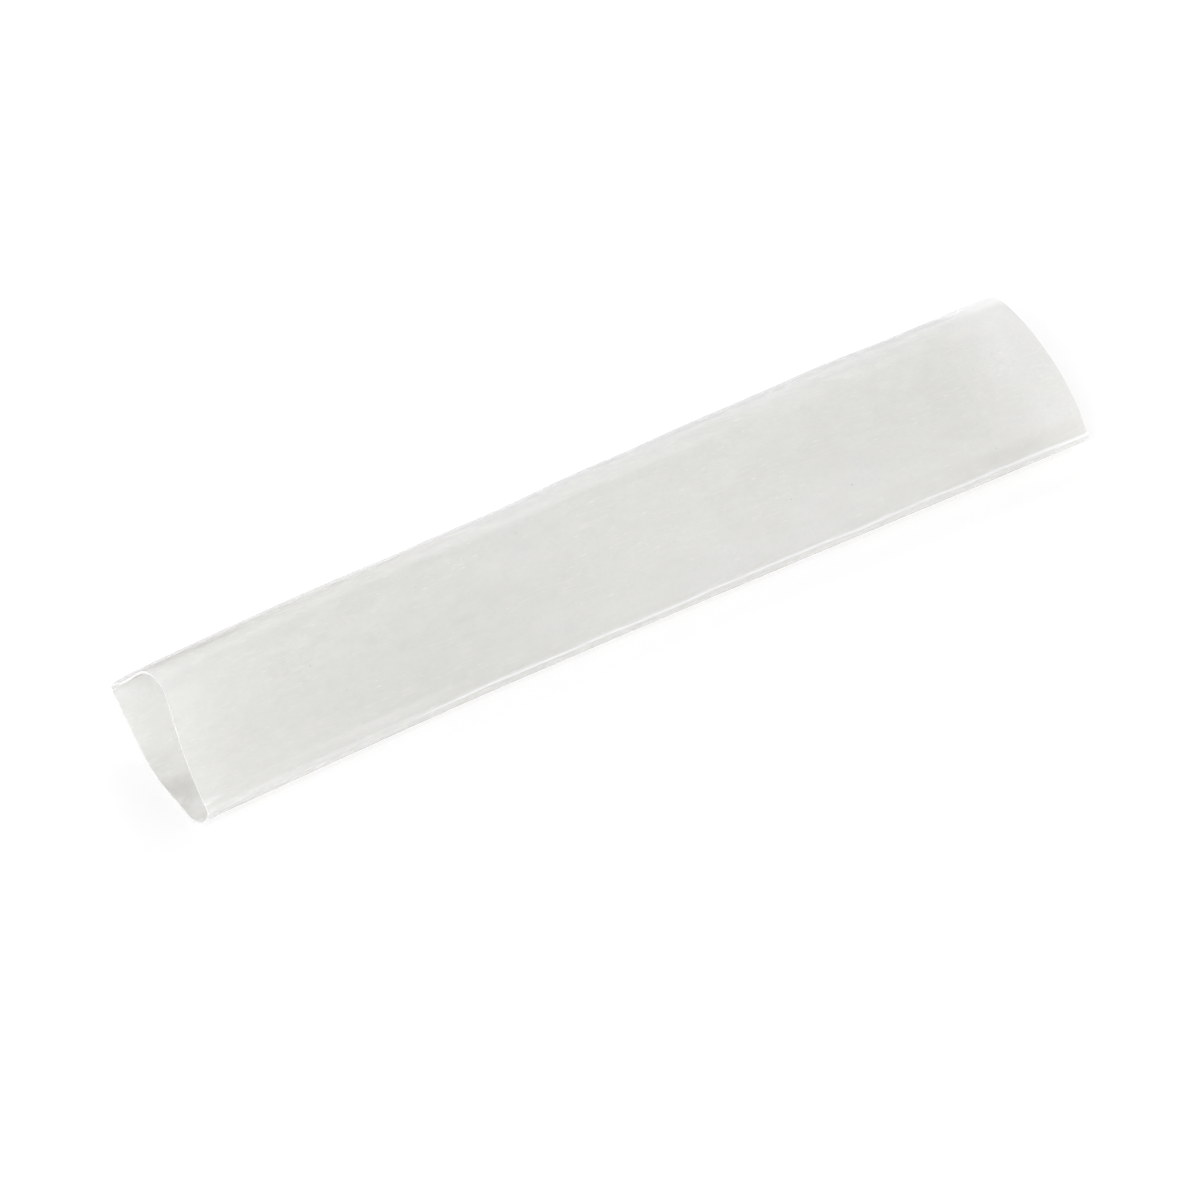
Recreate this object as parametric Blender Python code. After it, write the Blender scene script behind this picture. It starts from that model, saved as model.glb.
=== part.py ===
"""A cut length of clear heat shrink tube, creased flat on two sides by its reel and lying open on a surface.

The tube is one extruded piece. +X runs from the open mouth to the far end, -Y is the side of the front
crease, +Z is up, and the origin is under the middle of the tube, on the surface that it lies on. Metres.
"""
import math

import bmesh
import bpy
import numpy as np

# The stock: its cut length, its bore when it is pressed round, and its wall as supplied.
LENGTH = 0.200
BORE = 0.030
WALL = 0.00045

# The inside bend of the two creases that run along the tube.
CREASE_INSIDE_RADIUS = 0.00045

# How the tube lies is given at three places: the mouth, the waist and the far end. WAIST_PLACE is how far
# the waist is from the mouth. Each value below is a set of three, in that order, blended in between.
WAIST_PLACE = 0.062

# Flat width minus the distance between the creases: how far the tube has opened.
SLACK = (0.0140, 0.0138, 0.0103)
# Sideways place of the middle between the creases, towards the front.
DRIFT = (0.0018, -0.0011, 0.0006)
# Heights of the two creases, at the centres of their bends.
BACK_CREASE_HEIGHT = (0.0120, 0.0098, 0.0062)
FRONT_CREASE_HEIGHT = (0.0074, 0.0052, 0.0058)
# Place of the crown, from the middle between the creases and towards the front.
CROWN_PLACE = (0.0002, -0.0002, -0.0084)
# How far the crown stays level to its back and to its front.
CROWN_BACK_REACH = (0.0063, 0.0051, 0.0073)
CROWN_FRONT_REACH = (0.0067, 0.0057, 0.0108)
# Where the wall leaves the floor, in from the back crease and in from the front crease.
BACK_FOOT_INSET = (0.0185, 0.0114, 0.0040)
FRONT_FOOT_INSET = (0.0076, 0.0050, 0.0080)

# Slopes of the wall at the creases, in degrees from level: above each crease, then below it.
BACK_RISE = (32.0, 45.0, 78.0)
FRONT_FALL = (39.0, 50.0, 53.0)
BACK_TUCK = (33.0, 51.0, 62.0)
FRONT_TUCK = (61.0, 72.0, 61.0)

# How long the wall keeps its slope beside a crease, as a share of its run to the crown or to the foot.
BACK_STIFFNESS = (0.52, 0.86, 0.39)
FRONT_STIFFNESS = (0.70, 0.40, 0.38)
UNDER_STIFFNESS = 0.40

# Facets along the tube, on each curve of a section, across the flat underside and round each crease.
LENGTH_STEPS = 20
CURVE_STEPS = 8
FLAT_STEPS = 4
CREASE_STEPS = 5

# Halvings of the range in which the crown's height is looked for.
CROWN_SEARCH_STEPS = 40


def outer_girth():
    """Length round the outside of the tube, which stays the same however it lies."""
    return math.pi * (BORE + 2 * WALL)


def between(values, distance):
    """Blend a set of three values at a distance from the mouth, smoothly and without overshoot."""
    places = (0.0, WAIST_PLACE, LENGTH)
    spans = np.diff(places)
    slopes = np.diff(values) / spans
    middle = 0.0
    if slopes[0] * slopes[1] > 0:
        weights = (2 * spans[1] + spans[0], spans[1] + 2 * spans[0])
        middle = sum(weights) / (weights[0] / slopes[0] + weights[1] / slopes[1])
    tangents = (slopes[0], middle, slopes[1])
    part = 0 if distance <= WAIST_PLACE else 1
    span = spans[part]
    t = (distance - places[part]) / span
    start = (1 + 2 * t) * (1 - t) ** 2 * values[part] + t * (1 - t) ** 2 * span * tangents[part]
    end = t * t * (3 - 2 * t) * values[part + 1] - t * t * (1 - t) * span * tangents[part + 1]
    return start + end


def direction(degrees):
    """Unit vector across the tube, x towards the front and y up."""
    return np.array((math.cos(math.radians(degrees)), math.sin(math.radians(degrees))))


def curve(start, start_handle, end_handle, end):
    """Points of one smooth curve, with its last point left out."""
    t = np.arange(CURVE_STEPS)[:, None] / CURVE_STEPS
    return (
        (1 - t) ** 3 * start
        + 3 * (1 - t) ** 2 * t * (start + start_handle)
        + 3 * (1 - t) * t * t * (end + end_handle)
        + t ** 3 * end
    )


def bend(centre, radius, first, last):
    """Points of a crease from one wall slope to the next, turning clockwise, with its last point left out."""
    slopes = [first + (last - first) * step / CREASE_STEPS for step in range(CREASE_STEPS)]
    return np.array([centre + radius * direction(slope + 90) for slope in slopes])


def outline(distance, crown_height):
    """Outer outline of the tube at a distance from the mouth, clockwise from under the back crease."""
    radius = CREASE_INSIDE_RADIUS + WALL
    spacing = outer_girth() / 2 - between(SLACK, distance)
    drift = between(DRIFT, distance)
    back = np.array((drift - spacing / 2, between(BACK_CREASE_HEIGHT, distance)))
    front = np.array((drift + spacing / 2, between(FRONT_CREASE_HEIGHT, distance)))
    crown = np.array((drift + between(CROWN_PLACE, distance), crown_height))
    back_foot = np.array((back[0] + between(BACK_FOOT_INSET, distance), 0.0))
    front_foot = np.array((front[0] - between(FRONT_FOOT_INSET, distance), 0.0))

    rise = between(BACK_RISE, distance)
    fall = -between(FRONT_FALL, distance)
    front_under = between(FRONT_TUCK, distance) - 180
    back_under = 180 - between(BACK_TUCK, distance)

    back_top = back + radius * direction(rise + 90)
    front_top = front + radius * direction(fall + 90)
    front_low = front + radius * direction(front_under + 90)
    back_low = back + radius * direction(back_under + 90)

    back_run = np.linalg.norm(crown - back_top) * between(BACK_STIFFNESS, distance)
    front_run = np.linalg.norm(crown - front_top) * between(FRONT_STIFFNESS, distance)
    front_under_run = np.linalg.norm(front_foot - front_low) * UNDER_STIFFNESS
    back_under_run = np.linalg.norm(back_foot - back_low) * UNDER_STIFFNESS
    level_back = np.array((-between(CROWN_BACK_REACH, distance), 0.0))
    level_front = np.array((between(CROWN_FRONT_REACH, distance), 0.0))

    underside = np.arange(FLAT_STEPS)[:, None] / FLAT_STEPS
    return np.concatenate([
        bend(back, radius, back_under, rise),
        curve(back_top, back_run * direction(rise), level_back, crown),
        curve(crown, level_front, -front_run * direction(fall), front_top),
        bend(front, radius, fall, front_under),
        curve(
            front_low,
            front_under_run * direction(front_under),
            np.array((front_under_run, 0.0)),
            front_foot,
        ),
        front_foot + underside * (back_foot - front_foot),
        curve(
            back_foot,
            np.array((-back_under_run, 0.0)),
            -back_under_run * direction(back_under),
            back_low,
        ),
    ])


def girth(points):
    """Length round a closed outline."""
    return np.linalg.norm(np.roll(points, -1, axis=0) - points, axis=1).sum()


def settled_outline(distance):
    """Outline whose crown is as high as the girth of the tube allows."""
    low = 0.0
    high = outer_girth() / 2
    for _ in range(CROWN_SEARCH_STEPS):
        middle = (low + high) / 2
        if girth(outline(distance, middle)) < outer_girth():
            low = middle
        else:
            high = middle
    return outline(distance, (low + high) / 2)


def inset(points, thickness):
    """The outline moved inwards by the thickness of the wall."""
    before = points - np.roll(points, 1, axis=0)
    after = np.roll(points, -1, axis=0) - points
    before /= np.linalg.norm(before, axis=1)[:, None]
    after /= np.linalg.norm(after, axis=1)[:, None]
    along = before + after
    along /= np.linalg.norm(along, axis=1)[:, None]
    inwards = np.stack((along[:, 1], -along[:, 0]), axis=1)
    reach = thickness / (along * before).sum(axis=1)
    return points + inwards * reach[:, None]


def rings():
    """Outer and inner ring of points at each step along the tube, centred on the origin."""
    outer = []
    inner = []
    for step in range(LENGTH_STEPS + 1):
        distance = LENGTH * step / LENGTH_STEPS
        points = settled_outline(distance)
        for skin, shape in ((outer, points), (inner, inset(points, WALL))):
            along = np.full(len(shape), distance - LENGTH / 2)
            skin.append(np.column_stack((along, -shape[:, 0], shape[:, 1])))
    outer = np.array(outer)
    inner = np.array(inner)
    middle = (outer[:, :, 1].min() + outer[:, :, 1].max()) / 2
    outer[:, :, 1] -= middle
    inner[:, :, 1] -= middle
    return outer, inner


def join(bm, first, second):
    """Faces between two rings of the same number of vertices."""
    count = len(first)
    for k in range(count):
        after = (k + 1) % count
        bm.faces.new((first[k], first[after], second[after], second[k]))


def tube_mesh():
    """Outer skin, inner skin and the two cut ends, as one closed body."""
    bm = bmesh.new()
    outer, inner = ([[bm.verts.new(point) for point in ring] for ring in skin] for skin in rings())
    for near, far in zip(outer, outer[1:]):
        join(bm, near, far)
    for near, far in zip(inner, inner[1:]):
        join(bm, far, near)
    join(bm, inner[0], outer[0])
    join(bm, outer[-1], inner[-1])
    bmesh.ops.recalc_face_normals(bm, faces=bm.faces)
    mesh = bpy.data.meshes.new("heat_shrink_tube")
    bm.to_mesh(mesh)
    bm.free()
    mesh.shade_smooth()
    mesh.set_sharp_from_angle(angle=math.radians(40))
    return mesh


def clear_plastic():
    """Hazy clear polyolefin with a soft gloss."""
    material = bpy.data.materials.new("clear_polyolefin")
    material.use_nodes = True
    shader = material.node_tree.nodes["Principled BSDF"]
    shader.inputs["Base Color"].default_value = (0.80, 0.80, 0.78, 1.0)
    shader.inputs["Roughness"].default_value = 0.28
    shader.inputs["Metallic"].default_value = 0.0
    shader.inputs["Alpha"].default_value = 0.45
    return material


def clear_scene():
    """Remove the objects that the scene starts with."""
    for item in list(bpy.data.objects):
        bpy.data.objects.remove(item, do_unlink=True)


def build():
    """Make the tube as one named object."""
    clear_scene()
    mesh = tube_mesh()
    mesh.materials.append(clear_plastic())
    tube = bpy.data.objects.new("heat_shrink_tube", mesh)
    bpy.context.scene.collection.objects.link(tube)


build()
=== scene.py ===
"""Looks of a clear heat shrink tube: film with creases, streaks and scuffs, a pale table and soft light.

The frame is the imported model's: +X from the open mouth to the far end, -Y the side of the front crease,
+Z up, with the floor at zero. Lengths are metres.
"""
import math

import bmesh
import bpy
import numpy as np
from mathutils import Matrix, Vector


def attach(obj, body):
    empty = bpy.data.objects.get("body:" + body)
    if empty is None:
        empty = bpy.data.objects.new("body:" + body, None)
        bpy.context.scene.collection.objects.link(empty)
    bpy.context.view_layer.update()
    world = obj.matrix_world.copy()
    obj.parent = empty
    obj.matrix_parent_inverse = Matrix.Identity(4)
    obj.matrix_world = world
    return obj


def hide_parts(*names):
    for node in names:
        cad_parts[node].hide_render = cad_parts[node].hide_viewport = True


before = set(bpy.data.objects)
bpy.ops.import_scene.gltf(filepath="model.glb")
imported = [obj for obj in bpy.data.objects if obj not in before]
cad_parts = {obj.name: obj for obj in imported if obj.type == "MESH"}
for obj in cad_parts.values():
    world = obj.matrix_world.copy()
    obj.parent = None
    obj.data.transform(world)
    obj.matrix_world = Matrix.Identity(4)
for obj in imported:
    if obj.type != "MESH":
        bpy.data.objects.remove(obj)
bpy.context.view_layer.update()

# The stock: its cut length, its bore when it is pressed round, and its wall as supplied.
LENGTH = 0.200
BORE = 0.030
WALL = 0.00045
CREASE_INSIDE_RADIUS = 0.00045

# How the tube lies, at the mouth, at the waist and at the far end.
WAIST_PLACE = 0.062
SLACK = (0.0140, 0.0138, 0.0103)
DRIFT = (0.0018, -0.0011, 0.0006)
BACK_CREASE_HEIGHT = (0.0120, 0.0098, 0.0062)
FRONT_CREASE_HEIGHT = (0.0074, 0.0052, 0.0058)
CROWN_PLACE = (0.0002, -0.0002, -0.0084)
CROWN_BACK_REACH = (0.0063, 0.0051, 0.0073)
CROWN_FRONT_REACH = (0.0067, 0.0057, 0.0108)
BACK_FOOT_INSET = (0.0185, 0.0114, 0.0040)
FRONT_FOOT_INSET = (0.0076, 0.0050, 0.0080)
BACK_RISE = (32.0, 45.0, 78.0)
FRONT_FALL = (39.0, 50.0, 53.0)
BACK_TUCK = (33.0, 51.0, 62.0)
FRONT_TUCK = (61.0, 72.0, 61.0)
BACK_STIFFNESS = (0.52, 0.86, 0.39)
FRONT_STIFFNESS = (0.70, 0.40, 0.38)
UNDER_STIFFNESS = 0.40

# Facets along the tube, then round each part of a section. Crowding draws those along the tube towards the
# mouth, and those in front of the crown towards the front crease.
LENGTH_STEPS = 220
MOUTH_CROWDING = 1.2
CREASE_STEPS = 12
BACK_STEPS = 80
FRONT_STEPS = 46
FRONT_CROWDING = 1.6
UNDER_STEPS = 16
FLAT_STEPS = 8

# Halvings of the range in which the crown's height is looked for.
CROWN_SEARCH_STEPS = 26

# Edges that turn by more degrees than this stay sharp.
SHARP_ANGLE = 40.0

# Back crease at the mouth, where the fold has sprung open a little: its bend is wider, the wall above it is
# steeper by some degrees, and it hangs lower. A reach is how soon that fades along the tube.
MOUTH_FOLD_OPENING = 0.00050
MOUTH_FOLD_REACH = 0.014
MOUTH_FOLD_RISE = 9.0
MOUTH_FOLD_DROP = 0.0007
MOUTH_FOLD_DROP_REACH = 0.0035

# A name that ends in RIPPLE holds the shortest and longest wave of an unevenness, then its random seed. A
# name that ends in RAMP holds how far from the mouth a change starts, then the length that it takes.
RIPPLE_WAVES = 9

# Long soft waves of the top wall, the finer unevenness on them, and how far from the creases both are full.
WAVE_HEIGHT = 0.00011
WAVE_RIPPLE = (0.018, 0.060, 3)
WAVE_RAMP = (0.0, 0.012)
DIMPLE_HEIGHT = 0.000016
DIMPLE_RIPPLE = (0.005, 0.012, 5)
TOP_MARGIN = 0.004

# Streaks that fan out from the back corner of the mouth: where each starts and ends along the tube, how far
# from the back crease it starts and ends, and its depth. A negative depth is a ridge. The fades are the
# shares of its length over which it comes and goes.
STREAK_WIDTH = 0.00034
STREAK_FADES = (0.15, 0.6)
STREAKS = (
    (0.001, 0.022, 0.0050, 0.0085, 0.00016),
    (0.002, 0.030, 0.0078, 0.0135, 0.00018),
    (0.003, 0.033, 0.0094, 0.0150, -0.00010),
    (0.002, 0.038, 0.0125, 0.0185, 0.00016),
)

# The front crease: a bead along its top, lower at the mouth, and a hollow over it, deeper at the far end.
# Places are measured round the outside from the top of the crease, and are negative above it.
BEAD_HEIGHT = 0.00016
BEAD_WIDTH = 0.00038
BEAD_PLACE = -0.00025
BEAD_RAMP = (0.0, 0.03)
BEAD_SHARE_AT_MOUTH = 0.4
HOLLOW_DEPTH = 0.00022
HOLLOW_WIDTH = 0.0017
HOLLOW_PLACE = -0.0029
HOLLOW_RAMP = (0.14, 0.05)
HOLLOW_SHARE_AT_MOUTH = 0.35

# How far the front crease wavers, the length over which that fades at the far end, how far both creases are
# worn down, and how wide that is.
CREASE_WAVER = 0.00010
CREASE_RIPPLE = (0.016, 0.045, 11)
CREASE_FADE_LENGTH = 0.02
CREASE_WEAR = 0.00001
CREASE_WIDTH = 0.0016

# The cut ends: the front of the mouth flares out under its crease, and the cuts waver. The flare's place is
# a share of the wall below the crease.
FLARE_HEIGHT = 0.00055
FLARE_REACH = 0.0016
FLARE_PLACE = 0.25
FLARE_WIDTH = 0.0035
CUT_WAVER = 0.00006
CUT_RIPPLE = (0.004, 0.03, 17)
CUT_REACH = 0.0020

# Painted highlight line on the front crease. It is faint near the mouth, and lies lower on that half of the
# tube.
LINE_WIDTH = 0.00028
LINE_WAVER = 0.00012
LINE_RIPPLE = (0.012, 0.040, 23)
LINE_DROP = 0.0005
LINE_DROP_RAMP = (0.09, 0.07)
LINE_TONE_AT_MOUTH = 0.05
LINE_TONE_GAIN = 0.80
LINE_RAMP = (0.040, 0.020)

# Lighter strip of painted light over the front crease near the mouth, and the widths of its soft upper and
# lower edges.
STRIP_WIDTH = 0.0029
STRIP_EDGES = (0.0007, 0.003)
STRIP_TONE = 0.20
STRIP_RAMP = (0.035, 0.035)

# Short painted glint on the front crease at the mouth. It climbs as it leaves the mouth.
GLINT_PLACE = -0.0012
GLINT_CLIMB = 0.08
GLINT_TONE = 0.7
GLINT_RAMP = (0.0, 0.006)

# Painted highlight on the shoulder, where the top wall faces the back: how far it has to face that way to
# get the full painted highlight.
SHOULDER_FACING = 0.7
SHOULDER_HIGHLIGHT = 1.0
SHOULDER_RAMP = (0.045, 0.03)

# Painted highlight line inside the back crease at the mouth: its place as a share of the bend, and its
# width.
INSIDE_LINE_PLACE = 0.2
INSIDE_LINE_WIDTH = 0.6 * LINE_WIDTH
INSIDE_LINE_TONE = 0.8
INSIDE_LINE_RAMP = (0.006, 0.006)

# Painted shade: the hollow over the front crease and the streaks at the mouth, with a painted highlight on a
# streak that is a ridge.
HOLLOW_TONE = 0.14
HOLLOW_TONE_RAMP = (0.15, 0.03)
STREAK_TONE = 0.5

# Colours of the film: its two faint tints, then what lies over them, painted shade and highlights among
# them, and the two near-white shades of its cut ends, painted for the light that they gather.
GREENISH = (0.885, 0.885, 0.85, 1)
NEUTRAL = (0.90, 0.895, 0.89, 1)
BLOTCH = (0.835, 0.83, 0.80, 1)
GRAIN = (0.83, 0.83, 0.81, 1)
# A darker patch on the top near the mouth.
DARKER_PATCH = (0.76, 0.76, 0.74, 1)
# Painted shade in the fold at the mouth.
FOLD_SHADE = (0.56, 0.555, 0.54, 1)
# Painted shade in the lower front of the mouth.
MOUTH_SHADE = (0.60, 0.59, 0.57, 1)
SCUFF = (0.96, 0.96, 0.95, 1)
SCRATCH = (0.99, 0.99, 0.98, 1)
SPECK = (0.30, 0.29, 0.27, 1)
# Painted highlight, then painted shade.
PAINTED_HIGHLIGHT = (1.0, 1.0, 0.99, 1)
SHADED = (0.40, 0.39, 0.37, 1)
# Painted light on the cut ends: both shades are nearly white.
CUT_SHADE = (0.93, 0.93, 0.92, 1)
CUT_WHITE = (0.97, 0.97, 0.97, 1)

# The most that shows of a layer that never shows fully.
GRAIN_SHARE = 0.5
DARKER_PATCH_SHARE = 0.6
FOLD_SHADE_SHARE = 0.65
MOUTH_SHADE_SHARE = 0.55
SCUFF_SHARE = 0.30
SCRATCH_SHARE = 0.6
SPECK_SHARE = 0.6

# Fineness of the patterns along, across and up the tube: larger is finer. Scuffs and scratches are turned
# about the vertical by the degrees that follow. Scratches then have their size in a cell of their pattern,
# and the share of the cells that hold one.
TINT_SCALE = (35, 70, 70)
BLOTCH_SCALE = (110, 200, 200)
GRAIN_SCALE = (1300, 1300, 1300)
NICK_SCALE = (900, 900, 900)
SCUFFS = ((260, 2600, 2600), 3)
SCRATCHES = ((330, 3200, 3200), 2, 0.30, 0.05)
CROSS_SCRATCHES = ((420, 3400, 3400), -24, 0.28, 0.03)

# Values of a pattern between which a layer goes from absent to full. PATTERN_RANGE is nearly the whole of a
# pattern. Scuffs are on worn film only, and UNWORN_SCRATCHES is how strong scratches are elsewhere.
PATTERN_RANGE = (0.3, 0.7)
TINT_RANGE = (0.35, 0.65)
WORN_RANGE = (0.62, 0.42)
UNWORN_SCRATCHES = 0.5
BLOTCH_RANGE = (0.38, 0.66)
GRAIN_RANGE = (0.35, 0.65)
SPECK_RANGE = (0.80, 0.84)
SCUFF_RANGE = (0.55, 0.75)
# Painted shade in the lower front of the mouth shows within this range of the blotches.
MOUTH_SHADE_RANGE = (0.38, 0.52)
NICK_RANGE = (0.4, 0.7)

# Share of the radius of a mark, and of a patch, within which it is full.
MARK_CORE = 0.4
PATCH_CORE = 0.35

# Painted shade on the back wall in the fold at the mouth: each axis from no painted shade to full painted
# shade.
FOLD_SHADE_SPANS = (("X", -0.054, -0.082), ("Y", -0.001, 0.012), ("Z", 0.0110, 0.0145))

# The middles and radii of the painted shade in the lower front of the mouth, where the tube meets the floor,
# and of the darker patch on the top.
MOUTH_SHADE_PATCH = ((-0.0985, -0.005, 0.001), (0.006, 0.011, 0.006))
DARKER_PATCH_PLACE = ((-0.056, -0.010, 0.020), (0.062, 0.017, 0.030))

# Haze of the film, what scratches, the painted highlights and shades, and the far end add to it, and the
# haze of the cut ends. It is more at the far end, because only one wall shows there.
HAZE = (0.46, 0.54)
SCRATCH_HAZE = 0.08
PAINTED_LIGHT_HAZE = 0.35
FAR_HAZE = 0.32
FAR_HAZE_PLACE = (0.080, 0.093)
CUT_HAZE = 0.9

# Roughness of the film, what scuffs add to it, and the roughness of the cut ends and the table.
ROUGHNESS = (0.20, 0.28)
SCUFF_ROUGHNESS = 0.15
CUT_ROUGHNESS = (0.3, 0.45)
TABLE_ROUGHNESS = 0.9

# How light meets the film: its gloss, the depth of its grain, and the light that scatters inside it.
GLOSS = {"IOR": 1.5, "Specular_IOR_Level": 0.25}
GRAIN_RELIEF = {"Strength": 0.5, "Distance": 0.00003}
SCATTERING = {"Subsurface_Weight": 1.0, "Subsurface_Scale": 0.001, "Subsurface_Radius": (1, 1, 1)}

# The camera: its side view and height in degrees, its distance, its lens and sensor in millimetres, how far
# it sees, and the point in the middle of the picture.
CAMERA_AZIMUTH = -32.32
CAMERA_ELEVATION = 43.56
CAMERA_DISTANCE = 1.600
CAMERA_LENS = 247.7
CAMERA_SENSOR = 36.0
CAMERA_CLIP = 20.0
CAMERA_AIM = (-0.00157, -0.00092, -0.00223)

# A white light tent: its even light, and what it adds towards each side.
TENT_LIGHT = 0.41
TENT_SIDES = (((0, -1, 0), 0.45), ((1, 0, 0), 0.53), ((0, 1, 0), 0.16))

# The table: its size, the gap between it and the tube, its grey and its glow.
TABLE_SIZE = 8.0
TABLE_GAP = 0.0001
TABLE_GREY = (0.5, 0.5, 0.5, 1)
TABLE_GLOW = 0.555

# Soft lights: name, place, size and power.
LIGHTS = (
    ("key_light", (-0.758, -0.636, 0.990), 0.50, 4.9),
    ("crown_light", (0.54, 0.86, 0.96), 0.45, 3.0),
    ("edge_light", (0.54, 1.20, 0.40), 0.45, 1.4),
    ("crease_light", (0.62, -1.05, 0.75), 0.20, 0.5),
    ("rim_light", (-1.40, 0.0, 0.14), 0.40, 3.5),
)


def outer_girth():
    """Length round the outside of the tube, which stays the same however it lies."""
    return math.pi * (BORE + 2 * WALL)


def between(values, distance):
    """Blend a set of three values at a distance from the mouth, smoothly and without overshoot."""
    places = (0.0, WAIST_PLACE, LENGTH)
    spans = np.diff(places)
    slopes = np.diff(values) / spans
    middle = 0.0
    if slopes[0] * slopes[1] > 0:
        weights = (2 * spans[1] + spans[0], spans[1] + 2 * spans[0])
        middle = sum(weights) / (weights[0] / slopes[0] + weights[1] / slopes[1])
    tangents = (slopes[0], middle, slopes[1])
    part = 0 if distance <= WAIST_PLACE else 1
    span = spans[part]
    t = (distance - places[part]) / span
    start = (1 + 2 * t) * (1 - t) ** 2 * values[part] + t * (1 - t) ** 2 * span * tangents[part]
    end = t * t * (3 - 2 * t) * values[part + 1] - t * t * (1 - t) * span * tangents[part + 1]
    return start + end


def direction(degrees):
    """Unit vector across the tube, x towards the front and y up."""
    return np.array((math.cos(math.radians(degrees)), math.sin(math.radians(degrees))))


def curve(start, start_handle, end_handle, end, steps, crowding=1.0):
    """Points of one smooth curve, with its last left out. Crowding draws them towards its end."""
    t = 1 - (1 - np.arange(steps)[:, None] / steps) ** crowding
    return (
        (1 - t) ** 3 * start
        + 3 * (1 - t) ** 2 * t * (start + start_handle)
        + 3 * (1 - t) * t * t * (end + end_handle)
        + t ** 3 * end
    )


def bend(centre, radius, first, last):
    """Points of a crease from one wall slope to the next, turning clockwise, with its last left out."""
    slopes = [first + (last - first) * step / CREASE_STEPS for step in range(CREASE_STEPS)]
    return np.array([centre + radius * direction(slope + 90) for slope in slopes])


def outline(distance, crown_height):
    """Outer outline of the tube at a distance from the mouth, clockwise from under the back crease."""
    radius = CREASE_INSIDE_RADIUS + WALL
    opening = MOUTH_FOLD_OPENING * math.exp(-distance / MOUTH_FOLD_REACH)
    back_radius = radius + opening
    spacing = outer_girth() / 2 - between(SLACK, distance)
    drift = between(DRIFT, distance)
    drop = opening + MOUTH_FOLD_DROP * math.exp(-distance / MOUTH_FOLD_DROP_REACH)
    back = np.array((drift - spacing / 2 + opening, between(BACK_CREASE_HEIGHT, distance) - drop))
    front = np.array((drift + spacing / 2, between(FRONT_CREASE_HEIGHT, distance)))
    crown = np.array((drift + between(CROWN_PLACE, distance), crown_height))
    back_foot = np.array((back[0] + between(BACK_FOOT_INSET, distance), 0.0))
    front_foot = np.array((front[0] - between(FRONT_FOOT_INSET, distance), 0.0))

    rise = between(BACK_RISE, distance) + MOUTH_FOLD_RISE * math.exp(-distance / MOUTH_FOLD_REACH)
    fall = -between(FRONT_FALL, distance)
    front_under = between(FRONT_TUCK, distance) - 180
    back_under = 180 - between(BACK_TUCK, distance)

    back_top = back + back_radius * direction(rise + 90)
    front_top = front + radius * direction(fall + 90)
    front_low = front + radius * direction(front_under + 90)
    back_low = back + back_radius * direction(back_under + 90)

    back_run = np.linalg.norm(crown - back_top) * between(BACK_STIFFNESS, distance)
    front_run = np.linalg.norm(crown - front_top) * between(FRONT_STIFFNESS, distance)
    front_under_run = np.linalg.norm(front_foot - front_low) * UNDER_STIFFNESS
    back_under_run = np.linalg.norm(back_foot - back_low) * UNDER_STIFFNESS
    level_back = np.array((-between(CROWN_BACK_REACH, distance), 0.0))
    level_front = np.array((between(CROWN_FRONT_REACH, distance), 0.0))

    underside = np.arange(FLAT_STEPS)[:, None] / FLAT_STEPS
    return np.concatenate([
        bend(back, back_radius, back_under, rise),
        curve(back_top, back_run * direction(rise), level_back, crown, BACK_STEPS),
        curve(crown, level_front, -front_run * direction(fall), front_top, FRONT_STEPS, FRONT_CROWDING),
        bend(front, radius, fall, front_under),
        curve(
            front_low,
            front_under_run * direction(front_under),
            np.array((front_under_run, 0.0)),
            front_foot,
            UNDER_STEPS,
        ),
        front_foot + underside * (back_foot - front_foot),
        curve(
            back_foot,
            np.array((-back_under_run, 0.0)),
            -back_under_run * direction(back_under),
            back_low,
            UNDER_STEPS,
        ),
    ])


def girth(points):
    """Length round a closed outline."""
    return np.linalg.norm(np.roll(points, -1, axis=0) - points, axis=1).sum()


def settled_outline(distance):
    """Outline whose crown is as high as the girth of the tube allows."""
    low = 0.0
    high = outer_girth() / 2
    for _ in range(CROWN_SEARCH_STEPS):
        middle = (low + high) / 2
        if girth(outline(distance, middle)) < outer_girth():
            low = middle
        else:
            high = middle
    return outline(distance, (low + high) / 2)


def inset(points, thickness):
    """The outline moved inwards by the thickness of the wall."""
    before = points - np.roll(points, 1, axis=0)
    after = np.roll(points, -1, axis=0) - points
    before /= np.linalg.norm(before, axis=1)[:, None]
    after /= np.linalg.norm(after, axis=1)[:, None]
    along = before + after
    along /= np.linalg.norm(along, axis=1)[:, None]
    inwards = np.stack((along[:, 1], -along[:, 0]), axis=1)
    reach = thickness / (along * before).sum(axis=1)
    return points + inwards * reach[:, None]


def ease(value):
    """Smooth step from 0 to 1 as the value goes from 0 to 1."""
    value = np.clip(value, 0.0, 1.0)
    return value * value * (3 - 2 * value)


def hump(value, width):
    """Smooth bump of height 1 about zero."""
    return np.exp(-((value / width) ** 2))


def ramp(distance, place):
    """Smooth step from 0 to 1 along the tube. The place is where it starts and how long it takes."""
    start, length = place
    return ease((distance - start) / length)


def ripple(along, round_about, pattern):
    """Gentle unevenness between about -1 and 1, made of waves whose lengths lie in the pattern's range."""
    shortest, longest, seed = pattern
    rng = np.random.default_rng(seed)
    total = np.zeros_like(round_about)
    for _ in range(RIPPLE_WAVES):
        angle = rng.uniform(0, math.pi)
        turns = 2 * math.pi / rng.uniform(shortest, longest)
        phase = rng.uniform(0, 2 * math.pi)
        total += np.sin(turns * (math.cos(angle) * along + math.sin(angle) * round_about) + phase)
    return total / math.sqrt(RIPPLE_WAVES)


def streak(distance, from_crease, start, end, near, far):
    """How strongly a streak shows, from 0 to 1, at points given by their place from the back crease."""
    share = (distance - start) / (end - start)
    fade = ease(share / STREAK_FADES[0]) * ease((1 - share) / STREAK_FADES[1])
    return fade * hump(from_crease - near - (far - near) * share, STREAK_WIDTH)


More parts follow.
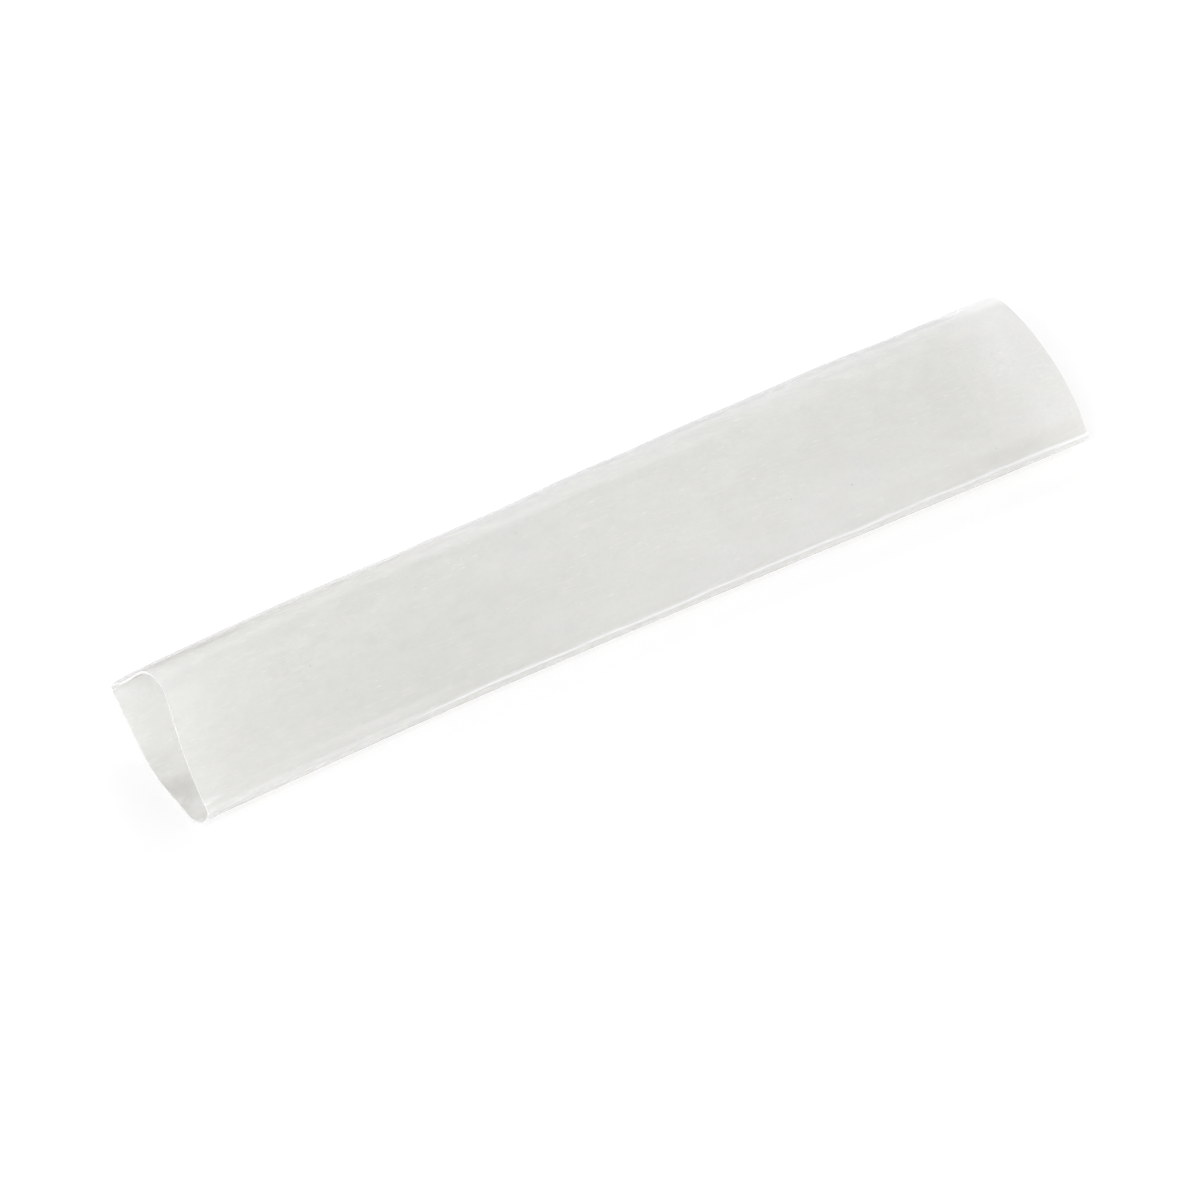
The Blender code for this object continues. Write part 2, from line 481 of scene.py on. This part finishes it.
def relief(distance, arc, marks):
    """How far the outer skin stands out at each point of a ring. The marks are where its parts start."""
    _, back_top, _, front_top, front_low, front_foot, _ = marks
    on_top = ease((arc - back_top) / TOP_MARGIN) * ease((front_top - arc) / TOP_MARGIN)
    out = WAVE_HEIGHT * ripple(distance, arc, WAVE_RIPPLE) * on_top * ramp(distance, WAVE_RAMP)
    out += DIMPLE_HEIGHT * ripple(distance, arc, DIMPLE_RIPPLE) * on_top

    for *place, depth in STREAKS:
        out -= depth * streak(distance, arc - back_top, *place)

    waver = CREASE_WAVER * ripple(distance, np.zeros_like(arc), CREASE_RIPPLE)
    waver *= ease((LENGTH - distance) / CREASE_FADE_LENGTH)
    out += (waver - CREASE_WEAR) * hump(arc - front_top, CREASE_WIDTH)
    out -= CREASE_WEAR * hump(arc, CREASE_WIDTH)
    out -= CREASE_WEAR * hump(arc - arc[-1], CREASE_WIDTH)

    bead = BEAD_SHARE_AT_MOUTH + (1 - BEAD_SHARE_AT_MOUTH) * ramp(distance, BEAD_RAMP)
    out += BEAD_HEIGHT * bead * hump(arc - front_top - BEAD_PLACE, BEAD_WIDTH)
    hollow = HOLLOW_SHARE_AT_MOUTH + (1 - HOLLOW_SHARE_AT_MOUTH) * ramp(distance, HOLLOW_RAMP)
    out -= HOLLOW_DEPTH * hollow * hump(arc - front_top - HOLLOW_PLACE, HOLLOW_WIDTH)

    flare_place = front_low + (front_foot - front_low) * FLARE_PLACE
    out += FLARE_HEIGHT * math.exp(-distance / FLARE_REACH) * hump(arc - flare_place, FLARE_WIDTH)
    return out


def painted_light_and_shade(distance, arc, marks, facing):
    """Painted highlight (above zero) or painted shade (below zero) of the film at each point of a ring."""
    _, back_top, crown, front_top, front_low, _, _ = marks
    drop = LINE_DROP * (1 - ramp(distance, LINE_DROP_RAMP))
    waver = LINE_WAVER * ripple(distance, np.zeros_like(arc), LINE_RIPPLE)
    # Painted highlight line along the front crease.
    line = hump(arc - (front_top + BEAD_PLACE + drop + waver), LINE_WIDTH)
    total = (LINE_TONE_AT_MOUTH + LINE_TONE_GAIN * ramp(distance, LINE_RAMP)) * line

    # Painted light on the strip over the front crease.
    above = ease((arc - front_top + STRIP_WIDTH) / STRIP_EDGES[0])
    below = 1 - ease((arc - front_low) / STRIP_EDGES[1])
    strip = above * below
    total += STRIP_TONE * (1 - ramp(distance, STRIP_RAMP)) * strip

    # Painted glint on the front crease.
    glint = hump(arc - front_top - GLINT_PLACE + GLINT_CLIMB * distance, LINE_WIDTH)
    total += GLINT_TONE * (1 - ramp(distance, GLINT_RAMP)) * glint

    # Painted highlight on the shoulder, strongest where the wall faces the back.
    on_back_half = (arc > back_top) & (arc < crown)
    shoulder = np.clip(-facing[:, 0] / SHOULDER_FACING, 0, 1) * on_back_half
    total += SHOULDER_HIGHLIGHT * ramp(distance, SHOULDER_RAMP) * shoulder

    # Painted shade over the hollow and along the streaks, or painted highlight on a ridge.
    hollow = hump(arc - front_top - HOLLOW_PLACE, HOLLOW_WIDTH)
    total -= HOLLOW_TONE * ramp(distance, HOLLOW_TONE_RAMP) * hollow
    for *place, depth in STREAKS:
        total -= math.copysign(STREAK_TONE, depth) * streak(distance, arc - back_top, *place)
    return total


def inside_painted_highlight(distance, arc, back_top):
    """Painted highlight along the inside of the back crease at the mouth."""
    line = hump(arc - INSIDE_LINE_PLACE * back_top, INSIDE_LINE_WIDTH)
    return INSIDE_LINE_TONE * (1 - ramp(distance, INSIDE_LINE_RAMP)) * line


def outwards(points):
    """Outward direction at each point of an outline."""
    along = np.roll(points, -1, axis=0) - np.roll(points, 1, axis=0)
    along /= np.linalg.norm(along, axis=1)[:, None]
    return np.stack((-along[:, 1], along[:, 0]), axis=1)


def rings():
    """Outer and inner rings of points along the tube, with its middle over the origin, and their painted
    light and shade.
    """
    steps = (CREASE_STEPS, BACK_STEPS, FRONT_STEPS, CREASE_STEPS, UNDER_STEPS, FLAT_STEPS, UNDER_STEPS)
    starts = np.concatenate(([0], np.cumsum(steps)[:-1]))
    outer = []
    inner = []
    reach = []
    outer_painted_light = []
    inner_painted_light = []
    for step in range(LENGTH_STEPS + 1):
        distance = LENGTH * (step / LENGTH_STEPS) ** MOUTH_CROWDING
        plain = settled_outline(distance)
        reach += [plain[:, 0].min(), plain[:, 0].max()]
        lengths = np.linalg.norm(np.diff(plain, axis=0), axis=1)
        arc = np.concatenate(([0.0], np.cumsum(lengths)))
        facing = outwards(plain)
        points = plain + facing * relief(distance, arc, arc[starts])[:, None]
        points[:, 1] = np.maximum(points[:, 1], 0.0)
        outer_painted_light.append(painted_light_and_shade(distance, arc, arc[starts], facing))
        inner_painted_light.append(outer_painted_light[-1] + inside_painted_highlight(distance, arc, arc[starts[1]]))
        to_end = min(distance, LENGTH - distance)
        waver = CUT_WAVER * (1 + ripple(0.0, arc, CUT_RIPPLE) / 2) * ease(1 - to_end / CUT_REACH)
        along = distance - LENGTH / 2 + np.where(distance < LENGTH / 2, waver, -waver)
        for skin, shape in ((outer, points), (inner, inset(points, WALL))):
            skin.append(np.column_stack((along, -shape[:, 0], shape[:, 1])))
    middle = (min(reach) + max(reach)) / 2
    outer = np.array(outer)
    inner = np.array(inner)
    outer[:, :, 1] += middle
    inner[:, :, 1] += middle
    return outer, inner, np.array((outer_painted_light, inner_painted_light))


def join(bm, first, second, material):
    """Faces between two rings of the same number of vertices."""
    count = len(first)
    for k in range(count):
        after = (k + 1) % count
        face = bm.faces.new((first[k], first[after], second[after], second[k]))
        face.material_index = material
        face.smooth = True


def tube_mesh():
    """Outer skin, inner skin and the two cut ends, which take the second material, as one closed body."""
    bm = bmesh.new()
    *skins, painted_light_values = rings()
    outer, inner = ([[bm.verts.new(point) for point in ring] for ring in skin] for skin in skins)
    for near, far in zip(outer, outer[1:]):
        join(bm, near, far, 0)
    for near, far in zip(inner, inner[1:]):
        join(bm, far, near, 0)
    join(bm, inner[0], outer[0], 1)
    join(bm, outer[-1], inner[-1], 1)
    bmesh.ops.recalc_face_normals(bm, faces=bm.faces)
    mesh = bpy.data.meshes.new("tube_film")
    bm.to_mesh(mesh)
    bm.free()
    # The painted highlights and painted shade go on the mesh as an attribute.
    values = mesh.attributes.new("painted_light_shade", "FLOAT", "POINT")
    values.data.foreach_set("value", painted_light_values.ravel().astype(np.float32))
    mesh.set_sharp_from_angle(angle=math.radians(SHARP_ANGLE))
    return mesh


class Nodes:
    """Short way to add and join the nodes of one material."""

    def __init__(self, name):
        self.material = bpy.data.materials.new(name)
        self.material.use_nodes = True
        self.tree = self.material.node_tree
        self.shader = self.tree.nodes["Principled BSDF"]

    def add(self, kind, inputs=None, **settings):
        """Add a node with its settings and its inputs."""
        node = self.tree.nodes.new(kind)
        for name, value in settings.items():
            setattr(node, name, value)
        for name, value in (inputs or {}).items():
            self.put(node.inputs[name], value)
        return node

    def put(self, socket, value):
        """Give a socket a value, or join it to another node's output."""
        if isinstance(value, bpy.types.NodeSocket):
            self.tree.links.new(value, socket)
        else:
            socket.default_value = value

    def set(self, **values):
        """Give the material's shader its inputs."""
        for name, value in values.items():
            self.put(self.shader.inputs[name.replace("_", " ")], value)

    def place(self, scale, turn=0.0):
        """Object coordinates, turned about the vertical and then stretched."""
        source = self.add("ShaderNodeTexCoord").outputs["Object"]
        turned = {"Vector": source, "Rotation": (0.0, 0.0, math.radians(turn))}
        stretched = {"Vector": self.add("ShaderNodeMapping", turned).outputs["Vector"], "Scale": scale}
        return self.add("ShaderNodeMapping", stretched).outputs["Vector"]

    def marks(self, scale, turn, size, share):
        """Small separate marks: a share of the cells of a random pattern, each filled near its middle."""
        cells = self.add("ShaderNodeTexVoronoi", {"Vector": self.place(scale, turn), "Scale": 1.0})
        near = self.span(cells.outputs["Distance"], size, size * MARK_CORE)
        pick = self.add("ShaderNodeSeparateColor", {"Color": cells.outputs["Color"]}).outputs["Red"]
        return self.maths("MULTIPLY", near, self.maths("LESS_THAN", pick, share))

    def patch(self, middle, radii):
        """Soft patch about a point, 1 in its middle and 0 outside its radii."""
        source = self.add("ShaderNodeTexCoord").outputs["Object"]
        scale = tuple(1 / radius for radius in radii)
        away = tuple(-place / radius for place, radius in zip(middle, radii))
        inputs = {"Vector": source, "Location": away, "Scale": scale}
        from_middle = self.add("ShaderNodeMapping", inputs).outputs["Vector"]
        length = self.add("ShaderNodeVectorMath", operation="LENGTH")
        self.put(length.inputs[0], from_middle)
        return self.span(length.outputs["Value"], 1.0, PATCH_CORE)

    def noise(self, scale, turn=0.0, detail=2.0, roughness=0.5):
        """Soft random pattern, mostly within PATTERN_RANGE."""
        vector = self.place(scale, turn)
        inputs = {"Vector": vector, "Scale": 1.0, "Detail": detail, "Roughness": roughness}
        return self.add("ShaderNodeTexNoise", inputs).outputs["Fac"]

    def span(self, value, low, high, new_low=0.0, new_high=1.0):
        """Take a value's range to a new one, without going past its ends."""
        old_range = {"Value": value, "From Min": low, "From Max": high}
        new_range = {"To Min": new_low, "To Max": new_high}
        return self.add("ShaderNodeMapRange", old_range | new_range).outputs["Result"]

    def part(self, mask, most):
        """Weaken a mask that goes from 0 to 1, so that it ends at the most."""
        return self.span(mask, 0, 1, 0, most)

    def maths(self, operation, first, second):
        """Join two values by an operation."""
        node = self.add("ShaderNodeMath", operation=operation)
        self.put(node.inputs[0], first)
        self.put(node.inputs[1], second)
        return node.outputs["Value"]

    def mix(self, share, first, second):
        """Blend from the first colour to the second."""
        node = self.add("ShaderNodeMix", {"Factor": share}, data_type="RGBA")
        self.put(node.inputs["A"], first)
        self.put(node.inputs["B"], second)
        return node.outputs["Result"]


def patterns(n):
    """Tint, blotches and grain of the film, then its scuffs and scratches, which favour the worn parts."""
    tint = n.noise(TINT_SCALE)
    blotches = n.noise(BLOTCH_SCALE, detail=3, roughness=0.7)
    grain = n.noise(GRAIN_SCALE, detail=1)
    worn = n.span(tint, *WORN_RANGE)
    scuffs = n.maths("MULTIPLY", n.span(n.noise(*SCUFFS), *SCUFF_RANGE), worn)
    scratches = n.maths("MAXIMUM", n.marks(*SCRATCHES), n.marks(*CROSS_SCRATCHES))
    scratches = n.maths("MULTIPLY", scratches, n.span(worn, 0, 1, UNWORN_SCRATCHES, 1))
    return tint, blotches, grain, scuffs, scratches


def film():
    """Hazy clear polyolefin, with faint tints, scuffs, scratches and specks, a darker patch on the top,
    painted shade in the fold and the lower front of the mouth, and painted highlights and shade along its
    creases.
    """
    n = Nodes("clear_film")
    tint, blotches, grain, scuffs, scratches = patterns(n)
    # Painted highlights and painted shade, read from the mesh attribute.
    painted_light_values = n.add("ShaderNodeAttribute", attribute_name="painted_light_shade").outputs["Fac"]
    painted_highlight = n.span(painted_light_values, 0.0, 1.0)
    shade = n.span(painted_light_values, 0.0, -1.0)

    # Painted shade on the back wall in the fold at the mouth.
    source = n.add("ShaderNodeTexCoord").outputs["Object"]
    axes = n.add("ShaderNodeSeparateXYZ", {"Vector": source}).outputs
    along, across, up = (n.span(axes[axis], none, full) for axis, none, full in FOLD_SHADE_SPANS)
    fold_shade = n.maths("MULTIPLY", n.maths("MULTIPLY", along, across), up)
    # Painted shade in the lower front of the mouth, spotted by the blotches.
    mouth_shade = n.maths("MULTIPLY", n.patch(*MOUTH_SHADE_PATCH), n.span(blotches, *MOUTH_SHADE_RANGE))

    layers = (
        (n.span(blotches, *BLOTCH_RANGE), BLOTCH),
        (n.span(grain, *GRAIN_RANGE, 0, GRAIN_SHARE), GRAIN),
        (n.part(n.patch(*DARKER_PATCH_PLACE), DARKER_PATCH_SHARE), DARKER_PATCH),
        (n.part(fold_shade, FOLD_SHADE_SHARE), FOLD_SHADE),
        (n.part(mouth_shade, MOUTH_SHADE_SHARE), MOUTH_SHADE),
        (n.part(scuffs, SCUFF_SHARE), SCUFF),
        (n.part(scratches, SCRATCH_SHARE), SCRATCH),
        (n.part(n.span(grain, *SPECK_RANGE), SPECK_SHARE), SPECK),
        (painted_highlight, PAINTED_HIGHLIGHT),
        (shade, SHADED),
    )
    colour = n.mix(n.span(tint, *TINT_RANGE), GREENISH, NEUTRAL)
    for mask, layer in layers:
        colour = n.mix(mask, colour, layer)

    haze = n.span(blotches, *PATTERN_RANGE, *HAZE)
    haze = n.maths("ADD", haze, n.part(scratches, SCRATCH_HAZE))
    haze = n.maths("ADD", haze, n.span(axes["X"], *FAR_HAZE_PLACE, 0, FAR_HAZE))
    haze = n.maths("ADD", haze, n.part(n.maths("MAXIMUM", painted_highlight, shade), PAINTED_LIGHT_HAZE))
    dull = n.maths("ADD", n.span(blotches, *PATTERN_RANGE, *ROUGHNESS), n.part(scuffs, SCUFF_ROUGHNESS))
    bump = n.add("ShaderNodeBump", {"Height": grain, **GRAIN_RELIEF})
    n.set(Base_Color=colour, Roughness=dull, Alpha=haze, Normal=bump.outputs["Normal"])
    n.set(**GLOSS, **SCATTERING)
    return n.material


def cut_edge():
    """The square cut ends, painted nearly white for the light that they gather."""
    n = Nodes("cut_edge")
    nicks = n.noise(NICK_SCALE, detail=3)
    colour = n.mix(n.span(nicks, *NICK_RANGE), CUT_SHADE, CUT_WHITE)
    roughness = n.span(nicks, *PATTERN_RANGE, *CUT_ROUGHNESS)
    n.set(Base_Color=colour, Roughness=roughness, Alpha=CUT_HAZE, **SCATTERING)
    return n.material


def add_tube():
    """The visible tube, which stands for the plain solid."""
    mesh = tube_mesh()
    mesh.materials.append(film())
    mesh.materials.append(cut_edge())
    tube = bpy.data.objects.new("tube_film", mesh)
    bpy.context.scene.collection.objects.link(tube)
    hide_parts("heat_shrink_tube")
    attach(tube, "root")


def view_rotation(azimuth, elevation):
    """Turn of a camera that looks at the tube from an azimuth and an elevation in degrees."""
    turned = Matrix.Rotation(math.radians(azimuth), 3, "Z")
    raised = Matrix.Rotation(math.radians(90 - elevation), 3, "X")
    return turned @ raised


def add_camera():
    """Long lens at the photograph's viewing angle."""
    data = bpy.data.cameras.new("camera")
    data.lens = CAMERA_LENS
    data.sensor_width = CAMERA_SENSOR
    data.clip_end = CAMERA_CLIP
    camera = bpy.data.objects.new("camera", data)
    turn = view_rotation(CAMERA_AZIMUTH, CAMERA_ELEVATION)
    camera.rotation_euler = turn.to_euler()
    camera.location = Vector(CAMERA_AIM) + turn @ Vector((0, 0, CAMERA_DISTANCE))
    bpy.context.scene.collection.objects.link(camera)
    bpy.context.scene.camera = camera


def add_floor():
    """Plain pale light table just under the tube."""
    bpy.ops.mesh.primitive_plane_add(size=TABLE_SIZE, location=(0, 0, -TABLE_GAP))
    floor = bpy.context.object
    floor.name = "floor"
    n = Nodes("floor_white")
    n.set(Base_Color=TABLE_GREY, Roughness=TABLE_ROUGHNESS, Specular_IOR_Level=0.0)
    n.set(Emission_Color=(1, 1, 1, 1), Emission_Strength=TABLE_GLOW)
    floor.data.materials.append(n.material)


def add_light(name, place, size, power):
    """Soft square light that faces the middle of the tube."""
    data = bpy.data.lights.new(name, "AREA")
    data.size = size
    data.energy = power
    light = bpy.data.objects.new(name, data)
    light.location = place
    light.rotation_euler = (-Vector(place)).to_track_quat("-Z", "Y").to_euler()
    light.visible_camera = False
    bpy.context.scene.collection.objects.link(light)


def add_world():
    """The white light tent round the table."""
    world = bpy.data.worlds.new("light_tent")
    world.use_nodes = True
    tree = world.node_tree
    source = tree.nodes.new("ShaderNodeTexCoord")
    total = None
    for side, strength in TENT_SIDES:
        facing = tree.nodes.new("ShaderNodeVectorMath")
        facing.operation = "DOT_PRODUCT"
        facing.inputs[1].default_value = side
        tree.links.new(source.outputs["Generated"], facing.inputs[0])
        share = tree.nodes.new("ShaderNodeMapRange")
        share.inputs["To Max"].default_value = strength
        tree.links.new(facing.outputs["Value"], share.inputs["Value"])
        add = tree.nodes.new("ShaderNodeMath")
        add.inputs[0].default_value = TENT_LIGHT
        if total:
            tree.links.new(total, add.inputs[0])
        tree.links.new(share.outputs["Result"], add.inputs[1])
        total = add.outputs["Value"]
    background = tree.nodes["Background"]
    background.inputs["Color"].default_value = (1, 1, 1, 1)
    tree.links.new(total, background.inputs["Strength"])
    bpy.context.scene.world = world


add_camera()
add_tube()
add_floor()
for light in LIGHTS:
    add_light(*light)
add_world()
bpy.context.scene.view_settings.view_transform = "Standard"
